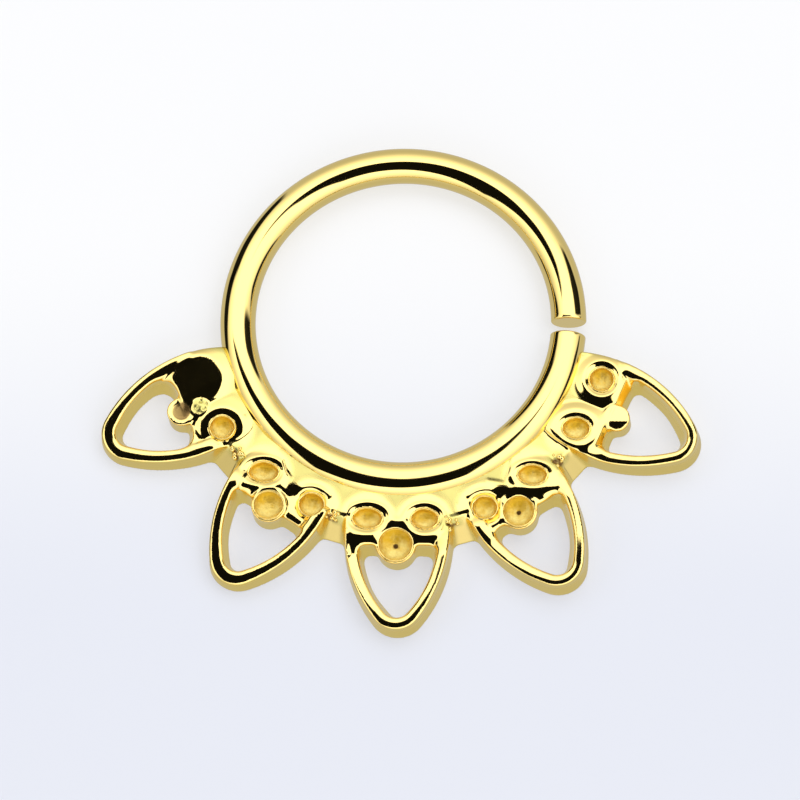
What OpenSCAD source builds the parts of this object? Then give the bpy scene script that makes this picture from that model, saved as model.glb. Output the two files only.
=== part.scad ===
// Septum ring: a round-wire hoop with a small gap, and a fan of five open petals
// soldered along its lower side. It lies on its back, the fan towards -Y.
// Each petal is a bent rim round a pierced window, with two small empty stone seats
// near the hoop and one large empty seat in the middle of its crossbar.
// All of it is one soldered piece of metal. Sizes are in millimetres, angles in degrees.

/* [Hoop] */
// Inner diameter of the hoop
hoop_id = 10; // [8:0.5:14]
// Diameter of the wire
wire_d = 1.2; // [1:0.1:1.6]
// Width of the gap between the wire's two ends
gap_w = 0.45; // [0.3:0.05:1.5]
// Angle of the free end, up from the hoop's right-hand side
free_end_a = 0.5; // [-4:0.5:20]

/* [Petals] */
// Length of a petal, from the hoop's outer edge to its tip
petal_l = 4.8; // [4.6:0.1:6]
// Greatest width of a petal
petal_w = 3.7; // [3.5:0.05:3.9]
// Radius of the long curve along a petal's side
side_r = 5; // [4.6:0.1:6]
// Radius of a petal's rounded tip
tip_r = 1; // [0.9:0.05:1.15]
// Angle from the middle petal to the next one on each side
inner_pitch = 32.5; // [32:0.5:35]
// Angle from there to the end petal
outer_pitch = 33.5; // [32:0.5:35]

/* [Rim] */
// Height of the rim's rounded crest above the flat back
rim_h = 1; // [0.8:0.05:1.2]
// Width of the rim at the back
rim_w = 0.62; // [0.5:0.02:0.7]
// Diameter of the rounded crest
crest_d = 0.4; // [0.3:0.02:0.44]
// Lean of the rim's outer wall, from its foot to the crest
rim_lean = 0.07; // [0:0.01:0.12]

/* [Flange and crossbar] */
// Height of the flange's front above the back
flange_h = 0.82; // [0.6:0.02:0.95]
// Reach of the web between two petals beyond the hoop, at the back
web_l = 1.8; // [1.4:0.1:2]
// How much further in the web's front edge lies
web_slope = 0.65; // [0.2:0.05:0.8]
// Reach of the crossbar's lower edge beyond the hoop
crossbar_l = 1.9; // [1.6:0.05:2.2]
// Radius of the window's upper corners
corner_r = 0.25; // [0.1:0.05:0.35]

/* [Small seats] */
// Distance between the middles of a petal's two small seats
small_spacing = 1.94; // [1.7:0.02:2]
// Distance of the small seats' middles from the hoop's outer edge
small_l = 0.8; // [0.7:0.05:0.95]
// Diameter of a small seat's hollow
small_bore = 0.84; // [0.6:0.02:0.88]
// Thickness of its thin raised edge
small_wall = 0.06; // [0.04:0.01:0.1]
// Height of that edge above the back
small_h = 0.94; // [0.85:0.01:1.05]
// Depth of the hollow
small_depth = 0.34; // [0.15:0.02:0.5]
// Width of the sunk ring round the edge
recess_w = 0.14; // [0.06:0.01:0.16]
// Depth of that sunk ring below the flange's front
recess_depth = 0.16; // [0.05:0.01:0.3]

/* [Large seats] */
// Distance of the large seat's middle from the hoop's outer edge
large_l = 1.75; // [1.6:0.05:1.9]
// Diameter of the large seat's hollow
large_bore = 1.14; // [0.9:0.02:1.2]
// Thickness of its edge at the front
large_wall = 0.1; // [0.06:0.01:0.16]
// Diameter of its foot at the back
large_foot = 1.12; // [1:0.02:1.3]
// Height of its edge above the back
large_h = 1.02; // [0.9:0.01:1.2]
// Depth of its hollow
large_depth = 0.44; // [0.2:0.02:0.55]
// Diameter of the drilled dimple in the middle of a hollow
dimple_d = 0.2; // [0.1:0.02:0.3]
// Depth of that dimple
dimple_depth = 0.1; // [0.04:0.01:0.14]
// Diameter of the half-filled hollow on the left end petal
filled_bore = 0.5; // [0.3:0.02:0.6]
// Height of the seat that is filled flush on the right end petal
filled_h = 0.9; // [0.8:0.01:1]

/* [Hidden] */
$fn = 96;

// One row for each petal, from the left end petal to the right one. The seats differ
// as they do on the piece shown: the left end petal has no left small seat.
STEP = 0;
LEFT_SEAT = 1;
RIGHT_SEAT = 2;
LARGE_SEAT = 3;
OPEN = "open";
HALF_FILLED = "half filled";
FILLED = "filled";
DISHED = "dished";
PETALS = [
    [-2, DISHED, OPEN, HALF_FILLED],
    [-1, OPEN, OPEN, OPEN],
    [0, OPEN, OPEN, OPEN],
    [1, OPEN, OPEN, OPEN],
    [2, OPEN, OPEN, FILLED]
];

// The hoop
hoop_or = hoop_id / 2 + wire_d;
hoop_r = hoop_id / 2 + wire_d / 2;
gap_a = gap_w / hoop_r * 180 / PI;

// A petal stands on the hoop's middle, its tip at tip_v from there
tip_v = hoop_or + petal_l;
tip_mid_v = tip_v - tip_r;
side_mid_u = side_r - petal_w / 2;
side_mid_v = tip_mid_v - sqrt(pow(side_r - tip_r, 2) - pow(side_mid_u, 2));
tangent_a = atan2(tip_mid_v - side_mid_v, side_mid_u);
root_v = hoop_r + wire_d / 4;
plate_v = hoop_or;
root_a = asin((side_mid_v - root_v) / side_r);

// The flange stops inside the rims of the end petals
crest_mid_d = rim_lean + crest_d / 2;
flange_end_a = atan2(side_r * cos(root_a) - side_mid_u - crest_mid_d, root_v);
fan_a = inner_pitch + outer_pitch + flange_end_a;

// The crossbar and the seats
crossbar_v = hoop_or + crossbar_l;
corner_u = sqrt(pow(side_r - rim_w, 2) - pow(crossbar_v + corner_r - side_mid_v, 2)) - side_mid_u;
small_v = hoop_or + small_l;
large_v = hoop_or + large_l;
large_top_d = large_bore + 2 * large_wall;

// The part lies with the middle of its outline over the origin
outline_mid_y = (hoop_or - tip_v) / 2;

// The bend at a petal's tip laps the sides by this angle, and stands out from them
tip_lap_a = 4;
tip_stand = 0.01;

// Short steps that keep cuts clear of the faces they start from
over = 0.1;

function petal_angle(step) =
    sign(step) * (min(abs(step), 1) * inner_pitch + max(abs(step) - 1, 0) * outer_pitch);

// Round wire, bent almost to a full turn, its two ends cut square
module hoop() {
    translate([0, 0, wire_d / 2])
        rotate_extrude(start = free_end_a, angle = 360 - gap_a, $fn = 180)
            translate([hoop_r, 0])
                circle(d = wire_d);
}

// Smooth band from the wire to the seats, with the sloping webs between the petals
module flange() {
    web_v = hoop_or + web_l;
    rotate_extrude(start = 270 - fan_a, angle = 2 * fan_a, $fn = 180)
        polygon([[root_v, 0], [web_v, 0], [web_v - web_slope, flange_h], [root_v, flange_h]]);
}

// The rim's section: x is 0 at the foot of the outer wall and grows inwards as -x.
// stand is how far it stands out all round from the plain one.
module rim_section(stand = 0) {
    crest_z = rim_h - crest_d / 2;
    crest_r = crest_d / 2 + stand;
    polygon([
        [stand, 0],
        [-crest_mid_d + crest_r, crest_z],
        [-crest_mid_d - crest_r, crest_z],
        [-rim_w - stand, 0]
    ]);
    translate([-crest_mid_d, crest_z])
        circle(r = crest_r);
}

// One long side of a petal's rim, on the right of its axis
module rim_side() {
    translate([-side_mid_u, -side_mid_v, 0])
        rotate_extrude(start = -tangent_a, angle = tangent_a + root_a, $fn = 180)
            translate([side_r, 0])
                rim_section();
}

// The rim bent round the petal's tip. It stands out a hair and laps the two sides
module rim_tip() {
    translate([0, -tip_mid_v, 0])
        rotate_extrude(start = tangent_a - 180 - tip_lap_a, angle = 180 - 2 * tangent_a + 2 * tip_lap_a)
            translate([tip_r, 0])
                rim_section(tip_stand);
}

// The plate behind the seats, from the hoop to the crossbar's lower edge
module crossbar() {
    linear_extrude(flange_h) {
        intersection() {
            for (side = [-1, 1])
                translate([side * side_mid_u, -side_mid_v])
                    circle(r = side_r - crest_mid_d, $fn = 180);
            translate([-petal_w / 2, -crossbar_v])
                square([petal_w, crossbar_v - plate_v]);
        }
        for (side = [-1, 1])
            scale([side, 1])
                difference() {
                    translate([corner_u - corner_r, -crossbar_v - corner_r])
                        square([corner_r + rim_w / 2, corner_r + over]);
                    translate([corner_u - corner_r, -crossbar_v - corner_r])
                        circle(r = corner_r);
                }
    }
}

// Sunk ring round a small seat, or the plain dish where the seat is missing
module small_recess(kind) {
    edge_d = small_bore + 2 * small_wall;
    recess_d = edge_d + 2 * recess_w;
    depth = kind == OPEN ? recess_depth : small_depth;
    translate([0, 0, flange_h - depth])
        cylinder(d1 = edge_d, d2 = recess_d + (recess_d - edge_d) * over / depth, h = depth + over);
}

// The thin raised edge of a small seat, as a solid round
module small_edge() {
    cylinder(d = small_bore + 2 * small_wall, h = small_h);
}

// A seat's hollow, with the drilled dimple at its bottom
module hollow(bore, depth) {
    translate([0, 0, -depth])
        cylinder(d = bore, h = depth + over);
    translate([0, 0, -depth - dimple_depth])
        cylinder(d1 = 0, d2 = dimple_d, h = dimple_depth);
}

module small_hollow() {
    translate([0, 0, small_h])
        hollow(small_bore, small_depth);
}

// A large seat flares from its foot to its edge
module large_boss(kind) {
    h = kind == OPEN ? large_h : filled_h;
    cylinder(d1 = large_foot, d2 = large_top_d, h = h);
}

// What is cut from a large seat: the half-filled one keeps a small hollow off its middle
module large_hollow(kind) {
    if (kind == OPEN)
        translate([0, 0, large_h])
            hollow(large_bore, large_depth);
    if (kind == HALF_FILLED)
        translate([0, -(large_bore - filled_bore) / 2, filled_h])
            hollow(filled_bore, large_depth / 2);
}

// The petal's two places for a small seat
module at_small_seat(side) {
    translate([side * small_spacing / 2, -small_v, 0])
        children();
}

module at_large_seat() {
    translate([0, -large_v, 0])
        children();
}

// Places what it holds once for each petal, turned to it
module at_petal(row) {
    rotate([0, 0, petal_angle(row[STEP])])
        children();
}

module petal_body() {
    rim_side();
    mirror([1, 0, 0])
        rim_side();
    rim_tip();
    crossbar();
}

// The flange and the petals, with the sunk rings cut round the small seats
module fan() {
    difference() {
        union() {
            flange();
            for (row = PETALS)
                at_petal(row)
                    petal_body();
        }
        for (row = PETALS)
            at_petal(row) {
                at_small_seat(-1)
                    small_recess(row[LEFT_SEAT]);
                at_small_seat(1)
                    small_recess(row[RIGHT_SEAT]);
            }
    }
}

// The raised parts of one petal's seats
module seat_edges(row) {
    if (row[LEFT_SEAT] == OPEN)
        at_small_seat(-1)
            small_edge();
    if (row[RIGHT_SEAT] == OPEN)
        at_small_seat(1)
            small_edge();
    at_large_seat()
        large_boss(row[LARGE_SEAT]);
}

// What is cut from one petal's seats
module seat_hollows(row) {
    if (row[LEFT_SEAT] == OPEN)
        at_small_seat(-1)
            small_hollow();
    if (row[RIGHT_SEAT] == OPEN)
        at_small_seat(1)
            small_hollow();
    at_large_seat()
        large_hollow(row[LARGE_SEAT]);
}

module ornament() {
    difference() {
        union() {
            fan();
            for (row = PETALS)
                at_petal(row)
                    seat_edges(row);
        }
        for (row = PETALS)
            at_petal(row)
                seat_hollows(row);
    }
}

module septum_ring() {
    color("gold")
        translate([0, -outline_mid_y, 0]) {
            ornament();
            hoop();
        }
}

septum_ring();
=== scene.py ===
# %% [markdown]
# A septum ring in polished gold-coloured metal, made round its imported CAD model.
# The real ring is a bent wire hoop with a fan of five cast petals soldered along its
# lower side. The CAD model gives the sizes, and this file gives the cast surface: soft
# edges, raised lobes, open stone seats with frosted insides, and the light of a photo tent.

# %% Load the frame
import math

import bpy
import numpy as np
from mathutils import Matrix


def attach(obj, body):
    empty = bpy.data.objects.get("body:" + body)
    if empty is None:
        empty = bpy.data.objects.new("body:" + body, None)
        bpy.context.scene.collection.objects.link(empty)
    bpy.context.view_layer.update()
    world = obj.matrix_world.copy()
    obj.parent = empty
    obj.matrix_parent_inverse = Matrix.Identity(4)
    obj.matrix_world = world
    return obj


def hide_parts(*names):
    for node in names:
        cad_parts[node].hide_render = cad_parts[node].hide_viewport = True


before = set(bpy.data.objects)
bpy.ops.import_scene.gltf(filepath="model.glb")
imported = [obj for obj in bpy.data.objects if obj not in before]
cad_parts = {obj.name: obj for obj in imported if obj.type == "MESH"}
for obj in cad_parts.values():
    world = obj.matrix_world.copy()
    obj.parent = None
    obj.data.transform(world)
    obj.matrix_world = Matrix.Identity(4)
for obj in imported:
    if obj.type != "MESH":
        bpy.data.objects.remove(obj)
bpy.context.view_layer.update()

# %% [markdown]
# The sizes are the real ones, in millimetres and degrees, the same as in the part's
# source. Blender works in metres here, so a piece is turned into metres as it is built.
# The ring lies on its back with the fan towards -Y, and the hoop's middle is a little
# above the middle of the whole outline.

# %% Sizes
MM = 0.001
WIRE_D = 1.2
HOOP_R = 5.6
HOOP_OUTER_R = HOOP_R + WIRE_D / 2
PETAL_TIP_V = 11.0
HOOP_MID_Y = (PETAL_TIP_V - HOOP_OUTER_R) / 2
FREE_END = 0.5
GAP = 0.45
PETAL_ANGLES = (-66.0, -32.5, 0.0, 32.5, 66.0)
print("hoop middle at y =", round(HOOP_MID_Y, 3), "mm, petals at", PETAL_ANGLES, "degrees")

# %% [markdown]
# The camera stands where the photograph was taken from: almost straight above the ring,
# leaning 18 degrees towards the fan, about a third of a metre away with a long lens.
# Three directions describe it: towards the camera, image right and image up.

# %% Camera
TILT = math.radians(18.01)
SIDE_TURN = math.radians(1.8)
ROLL = math.radians(1.2)
CAMERA_FAR = 338.0
PIXELS_PER_MM = 29.532
IMAGE_SIZE = 800
HOOP_MID_IN_IMAGE = (403.3, 322.4)
SENSOR = 36.0

to_camera = np.array([math.tan(SIDE_TURN), -math.tan(TILT), 1.0])
to_camera /= np.linalg.norm(to_camera)
level_up = np.array([0.0, 1.0, 0.0]) - to_camera[1] * to_camera
level_up /= np.linalg.norm(level_up)
level_right = np.cross(level_up, to_camera)
image_up = level_up * math.cos(ROLL) - level_right * math.sin(ROLL)
image_right = level_right * math.cos(ROLL) + level_up * math.sin(ROLL)

hoop_mid = np.array([0.0, HOOP_MID_Y, WIRE_D / 2])
aim = (hoop_mid
       - image_right * (HOOP_MID_IN_IMAGE[0] - IMAGE_SIZE / 2) / PIXELS_PER_MM
       + image_up * (HOOP_MID_IN_IMAGE[1] - IMAGE_SIZE / 2) / PIXELS_PER_MM)


def new_object(name, data):
    """An object with this data, linked to the scene."""
    made = bpy.data.objects.new(name, data)
    bpy.context.scene.collection.objects.link(made)
    return made


camera_data = bpy.data.cameras.new("photo_camera")
camera = new_object("photo_camera", camera_data)
camera_data.sensor_width = SENSOR
camera_data.lens = SENSOR * CAMERA_FAR * PIXELS_PER_MM / IMAGE_SIZE
camera_data.clip_start = 0.01
camera_data.clip_end = 10.0
turn = np.column_stack([image_right, image_up, to_camera])
matrix = np.eye(4)
matrix[:3, :3] = turn
matrix[:3, 3] = (aim + to_camera * CAMERA_FAR) * MM
camera.matrix_world = Matrix(matrix.tolist())
bpy.context.scene.camera = camera
print("lens", round(camera_data.lens, 1), "mm, aimed at", aim.round(2), "mm")

# %% [markdown]
# Node graphs are easier to read as formulas. This small class wraps one socket, so that
# a + b adds a Math node and 1 - mask works too. One method makes any other node from its
# type, its settings and the values or links of its sockets, and two more make the nodes
# that are used most.

# %% Sockets as numbers
class Wire:
    def __init__(self, tree, socket):
        self.tree = tree
        self.socket = socket

    def math(self, operation, *others):
        return Nodes(self.tree).make("ShaderNodeMath", {"operation": operation},
                                     dict(enumerate((self,) + others)))

    def __add__(self, other):
        return self.math("ADD", other)

    def __mul__(self, other):
        return self.math("MULTIPLY", other)

    def __sub__(self, other):
        return self.math("SUBTRACT", other)

    def __rsub__(self, other):
        return self.math("MULTIPLY", -1.0) + other

    def __truediv__(self, other):
        return self.math("DIVIDE", other)

    __radd__ = __add__
    __rmul__ = __mul__


class Nodes:
    def __init__(self, tree):
        self.tree = tree

    def make(self, kind, settings=None, values=None, out=0):
        node = self.tree.nodes.new(kind)
        for name, value in (settings or {}).items():
            if name == "ramp":
                set_ramp(node.color_ramp, value)
            else:
                setattr(node, name, value)
        for name, value in (values or {}).items():
            if isinstance(value, Wire):
                self.tree.links.new(value.socket, node.inputs[name])
            else:
                node.inputs[name].default_value = value
        return Wire(self.tree, node.outputs[out]) if len(node.outputs) else node

    def blend(self, factor, one, two):
        return self.make("ShaderNodeMix", {"data_type": "RGBA"}, {"Factor": factor, 6: one, 7: two}, out=2)

    def ease(self, value, low, high):
        """Goes smoothly from 0 at low to 1 at high."""
        return self.make("ShaderNodeMapRange", {"interpolation_type": "SMOOTHSTEP"},
                         {0: value, 1: low, 2: high})


def set_ramp(ramp, stops):
    while len(ramp.elements) < len(stops):
        ramp.elements.new(1.0)
    for element, (place, grey) in zip(ramp.elements, stops):
        element.position = place
        element.color = (grey, grey, grey, 1.0)


print("node helpers ready")

# %% [markdown]
# Polished metal shows nothing but its surroundings, so the light is most of its look.
# Jewellery is photographed in a tent of white cloth. The camera looks in through a dark
# opening, and black cards at the sides draw the dark lines that make gold look like gold.
# The tent is a formula on the ray's direction: x and y are degrees to the right of and
# above the photograph's own direction, so it stays still when the view turns.

# %% The light tent
CLOTH = ((0, 1.85), (44, 1.8), (56, 1.4), (66, 1.12), (76, 0.86), (88, 0.64), (105, 0.57), (180, 0.57))
CLOTH_MIDDLE_Y = 6.0
OPENING = ((-41, 31), (8, 31), (17, 12), (20, -18), (-43, -35))
CARDS = (
    ((-68, 101), (-46, 78), (-51, 49), (-98, 49), (-92, 72)),
    ((-51, 53), (-70, 31), (-88, 0), (-106, 8), (-100, 53)),
    ((-86, 4), (-97, -28), (-105, -14), (-106, 12)),
    ((36, 43), (50, 58), (64, 61), (82, 44), (88, 30), (60, 30), (45, 33)),
    ((70, 16), (89, 25), (84, -10), (76, -30), (70, -14)),
)
OPENING_BLUR = 1.5
CARD_BLUR = 3.0
OPENING_DARK = 0.997
CARD_DARK = 0.985
BRIGHTEST = max(level for place, level in CLOTH)


def inside_card(x, y, corners, blur):
    """Gives 1 inside the card with these corners, in degrees, and 0 outside it."""
    points = list(corners)
    area = sum(a[0] * b[1] - b[0] * a[1] for a, b in zip(points, points[1:] + points[:1]))
    if area < 0:
        points.reverse()
    nearest = None
    for a, b in zip(points, points[1:] + points[:1]):
        length = math.hypot(b[0] - a[0], b[1] - a[1])
        normal = (-(b[1] - a[1]) / length, (b[0] - a[0]) / length)
        distance = x * normal[0] + y * normal[1] + -(a[0] * normal[0] + a[1] * normal[1])
        nearest = distance if nearest is None else nearest.math("MINIMUM", distance)
    return Nodes(nearest.tree).ease(nearest, -blur, blur)


world = bpy.data.worlds.new("light_tent")
world.use_nodes = True
bpy.context.scene.world = world
tent = Nodes(world.node_tree)
world.node_tree.nodes.clear()
ray = tent.make("ShaderNodeTexCoord")


def along(direction):
    return tent.make("ShaderNodeVectorMath", {"operation": "DOT_PRODUCT"},
                     {0: ray, 1: [float(x) for x in direction]}, out="Value")


angle = along(to_camera).math("ARCCOSINE") * (180 / math.pi)
across = along(image_right)
upwards = along(image_up)
spread = (across * across + upwards * upwards).math("SQRT").math("MAXIMUM", 1e-4)
x_deg = angle * across / spread
y_deg = angle * upwards / spread
raised = y_deg - CLOTH_MIDDLE_Y
off_middle = (x_deg * x_deg + raised * raised).math("SQRT")
cloth = tent.make("ShaderNodeValToRGB", {"ramp": [(a / 180, g / BRIGHTEST) for a, g in CLOTH]},
                  {0: off_middle / 180})
light = cloth * BRIGHTEST
light = light * (1 - inside_card(x_deg, y_deg, OPENING, OPENING_BLUR) * OPENING_DARK)
for corners in CARDS:
    light = light * (1 - inside_card(x_deg, y_deg, corners, CARD_BLUR) * CARD_DARK)
background = tent.make("ShaderNodeBackground", None, {0: (0.98, 0.99, 1.0, 1.0), 1: light})
tent.make("ShaderNodeOutputWorld", None, {0: background})
bpy.context.scene.view_settings.view_transform = "Standard"
print("tent made of", len(world.node_tree.nodes), "nodes")

# %% [markdown]
# The ring is brass or silver with a bright gold plating. It is a full metal, so its
# colour sits in Base Color, and it is nearly a mirror: a low roughness with faint cloudy
# patches from polishing, and a very slight waviness that makes reflections run like
# liquid. The polishing brush didn't reach everywhere. The flange is satin and the side
# walls are duller, and the side walls' deeper colour is painted shade, for light bounced
# between the walls. Small pits, creases and the drilled cups' holes are painted dark as
# painted shade, and a facet beside the knob as a painted dark reflection. The insides of
# the stone seats are frosted, and their orange is painted shade at the top, with a painted
# glint low down. Attributes on the points of each mesh say where these finishes and
# painted shades are.

# %% Gold
GOLD = (1.0, 0.77, 0.27, 1.0)
# The frosted insides: a deep orange that is painted shade at the cup's top, and a paler glint that is a
# painted highlight.
FROSTED_SHADE_GOLD = (0.78, 0.48, 0.035, 1.0)
FROSTED_PAINTED_GLINT = (1.0, 0.84, 0.30, 1.0)
SATIN_GOLD = (0.78, 0.69, 0.22, 1.0)
# The side walls' deeper colour is painted shade, for light bounced between the walls.
SIDE_WALL_SHADE_GOLD = (1.0, 0.76, 0.20, 1.0)
# Painted shade in pits, creases and the drilled cups' holes, and a painted dark reflection on a facet by the
# knob.
PAINTED_DARK_GOLD = (0.28, 0.17, 0.06, 1.0)


def gold_material(name, frosted=False):
    material = bpy.data.materials.new(name)
    material.use_nodes = True
    material.node_tree.nodes.clear()
    shader = Nodes(material.node_tree)
    place = shader.make("ShaderNodeTexCoord", out="Object")

    def noise(scale, detail):
        values = {"Vector": place, "Scale": scale, "Detail": detail}
        return shader.make("ShaderNodeTexNoise", None, values, out="Fac")

    def mark(attribute):
        return shader.make("ShaderNodeAttribute", {"attribute_name": attribute}, out="Fac")

    clouds = noise(900.0, 3.0)
    waves = noise(650.0, 1.0)
    grains = noise(14000.0, 2.0)
    satin, stain, side = mark("satin"), mark("stain"), mark("side wall")
    rough = clouds * 0.04 + 0.035 + satin * (clouds * 0.12 + 0.20) + stain * 0.3 + side * 0.24
    height = waves * (satin * 0.00003 + 0.00002)
    colour = shader.blend(side, shader.blend(satin, GOLD, SATIN_GOLD), SIDE_WALL_SHADE_GOLD)
    if frosted:
        inside, lower = mark("inside"), mark("lower")
        patches = noise(5000.0, 3.0)
        # The painted glint comes up low in the cup and on random patches. Elsewhere the inside shows the
        # painted shade orange.
        painted_glints = shader.ease(patches * 0.6 + lower * 0.75, 0.42, 0.98)
        colour = shader.blend(inside, colour, shader.blend(painted_glints, FROSTED_SHADE_GOLD, FROSTED_PAINTED_GLINT))
        rough = rough + inside * (grains * 0.2 + 0.40)
        height = height + inside * grains * 0.00003
    colour = shader.blend(stain, colour, PAINTED_DARK_GOLD)
    bump = shader.make("ShaderNodeBump", None, {"Height": height, "Distance": 1.0, "Strength": 0.6})
    metal = shader.make("ShaderNodeBsdfPrincipled", None,
                        {"Base Color": colour, "Metallic": 1.0, "Roughness": rough, "Normal": bump})
    shader.make("ShaderNodeOutputMaterial", None, {0: metal})
    return material


polished_gold = gold_material("polished_gold")
seat_gold = gold_material("seat_gold", frosted=True)
print("materials:", polished_gold.name, seat_gold.name)

# %% [markdown]
# The hoop is a wire bent on a mandrel and cut through, so its shape is a rule: a round
# section swept along an arc. Geometry Nodes keep that rule open, with the sizes as named
# inputs. The three helpers below open a tree, close it, and run it on a new object.

# %% Geometry Nodes helpers
def new_tree(name, **labels):
    """A tree with a geometry input and output, and an input for each label of a kind."""
    tree = bpy.data.node_groups.new(name, "GeometryNodeTree")
    tree.is_modifier = True
    tree.interface.new_socket(name="Geometry", in_out="OUTPUT", socket_type="NodeSocketGeometry")
    tree.interface.new_socket(name="Geometry", in_out="INPUT", socket_type="NodeSocketGeometry")
    for kind, names in labels.items():
        for label in names:
            tree.interface.new_socket(name=label, in_out="INPUT", socket_type="NodeSocket" + kind)
    nodes = Nodes(tree)
    group = tree.nodes.new("NodeGroupInput")
    return nodes, {socket.name: Wire(tree, socket) for socket in group.outputs if socket.name}


def close_tree(nodes, geometry, material):
    """Ends a tree in Realize Instances, smooth shading and Set Material."""
    real = nodes.make("GeometryNodeRealizeInstances", None, {"Geometry": geometry})
    smooth = nodes.make("GeometryNodeSetShadeSmooth", None, {"Geometry": real})
    painted = nodes.make("GeometryNodeSetMaterial", None, {"Geometry": smooth, "Material": material})
    nodes.make("NodeGroupOutput", None, {"Geometry": painted})


def grow(name, tree, values, mesh=None):
    """Runs a tree on a new object and returns a plain mesh object of the result."""
    seed = new_object(name + "_seed", mesh or bpy.data.meshes.new(name + "_seed"))
    modifier = seed.modifiers.new(name, "NODES")
    modifier.node_group = tree
    for item in tree.interface.items_tree:
        if item.item_type == "SOCKET" and item.in_out == "INPUT" and item.name in values:
            modifier[item.identifier] = values[item.name]
    seed.update_tag()
    graph = bpy.context.evaluated_depsgraph_get()
    graph.update()
    result = bpy.data.meshes.new_from_object(seed.evaluated_get(graph))
    bpy.data.objects.remove(seed)
    result.name = name
    print(name, "has", len(result.vertices), "points and", len(result.polygons), "faces")
    return new_object(name, result)


print("tree helpers ready")

# %% [markdown]
# The points of the hoop's path sit close together at its two ends, where the section
# shrinks to round off the cut. Where the fan is soldered on, the wire's outer side gets a
# shoulder of solder, widest at the middle of the fan and fading out to both sides.

# %% Hoop
END_STEPS = 8
nodes, size = new_tree(
    "bent_wire", Int=("Path points", "Sides"),
    Float=("Hoop radius", "Wire radius", "Start angle", "Turn", "End rounding", "Middle y",
           "Shoulder", "Shoulder middle", "Shoulder spread"))
line = nodes.make("GeometryNodeMeshLine", None, {"Count": size["Path points"]})
index = nodes.make("GeometryNodeInputIndex")
last = size["Path points"] - 1
from_end = index.math("MINIMUM", last - index)
rounding = size["End rounding"] / size["Hoop radius"]
step = (size["Turn"] - rounding * 2) / (last - 2 * END_STEPS)
near = (from_end / END_STEPS).math("MINIMUM", 1.0)
off_end = rounding * (1 - (near * (math.pi / 2)).math("COSINE"))
off_end = off_end + (from_end - END_STEPS).math("MAXIMUM", 0.0) * step
is_late = index.math("GREATER_THAN", last / 2)
turned = off_end + is_late * (size["Turn"] - off_end * 2)
bend = size["Start angle"] + turned
inset = size["End rounding"] * (1 - (near * (math.pi / 2)).math("SINE"))
path_x = size["Hoop radius"] * bend.math("COSINE")
path_y = size["Hoop radius"] * bend.math("SINE") + size["Middle y"]
path = nodes.make("ShaderNodeCombineXYZ", None, {0: path_x, 1: path_y, 2: size["Wire radius"]})
placed = nodes.make("GeometryNodeSetPosition", None, {"Geometry": line, "Position": path})
curve = nodes.make("GeometryNodeMeshToCurve", None, {0: placed})
section = nodes.make("GeometryNodeCurvePrimitiveCircle", None,
                     {"Resolution": size["Sides"], "Radius": size["Wire radius"]})
swept = nodes.make("GeometryNodeCurveToMesh", None,
                   {"Curve": curve, "Profile Curve": section, "Fill Caps": True,
                    "Scale": 1 - inset / size["Wire radius"]})
spot = nodes.make("GeometryNodeInputPosition")
spot_x = nodes.make("ShaderNodeSeparateXYZ", None, {0: spot}, out="X")
spot_y = nodes.make("ShaderNodeSeparateXYZ", None, {0: spot}, out="Y") - size["Middle y"]
reach = (spot_x * spot_x + spot_y * spot_y).math("SQRT")
below = (spot_y * -1.0).math("ARCTAN2", spot_x) * (180 / math.pi) - size["Shoulder middle"]
fade = below / size["Shoulder spread"]
near_fan = (fade * fade * -1.0).math("EXPONENT")
outside = (reach - size["Hoop radius"]) / (size["Wire radius"] * 0.3) + 0.5
outside = outside.math("MAXIMUM", 0.0).math("MINIMUM", 1.0)
widen = size["Shoulder"] * near_fan * outside / reach
moved = nodes.make("ShaderNodeCombineXYZ", None, {0: spot_x * widen, 1: spot_y * widen})
shouldered = nodes.make("GeometryNodeSetPosition", None, {"Geometry": swept, "Offset": moved})
close_tree(nodes, shouldered, polished_gold)
gap_turn = GAP / HOOP_R
hoop = grow("hoop", nodes.tree, {
    "Hoop radius": HOOP_R * MM, "Wire radius": WIRE_D / 2 * MM,
    "Start angle": math.radians(FREE_END), "Turn": 2 * math.pi - gap_turn,
    "End rounding": 0.07 * MM, "Middle y": HOOP_MID_Y * MM, "Path points": 420, "Sides": 96,
    "Shoulder": 0.135 * MM, "Shoulder middle": 87.0, "Shoulder spread": 37.0})

# %% [markdown]
# The petal fan is one casting. Wax carvers round every inner corner a little, and no
# boolean of plain solids gives that. So the fan is written as a distance formula: it is
# below zero inside the metal, and soft minimum and maximum functions melt the forms
# together. A surface net then skins the place where it is zero.

# %% Soft minimum, soft maximum and ramps
def soft_min(a, b, k):
    h = np.clip(0.5 + 0.5 * (b - a) / k, 0.0, 1.0)
    return b + (a - b) * h - k * h * (1 - h)


def soft_max(a, b, k):
    return -soft_min(-a, -b, k)


def ramp(x, start, end):
    t = np.clip((x - start) / (end - start), 0.0, 1.0)
    return t * t * (3 - 2 * t)


print("a soft minimum of 1 and 1 is", soft_min(1.0, 1.0, 0.1))

# %% [markdown]
# The sizes of the casting are in millimetres too. In a petal, u runs across it and v runs
# from the hoop's middle to its tip. Joints and creases are given as a turn in degrees and
# a distance from the hoop's middle.

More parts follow.
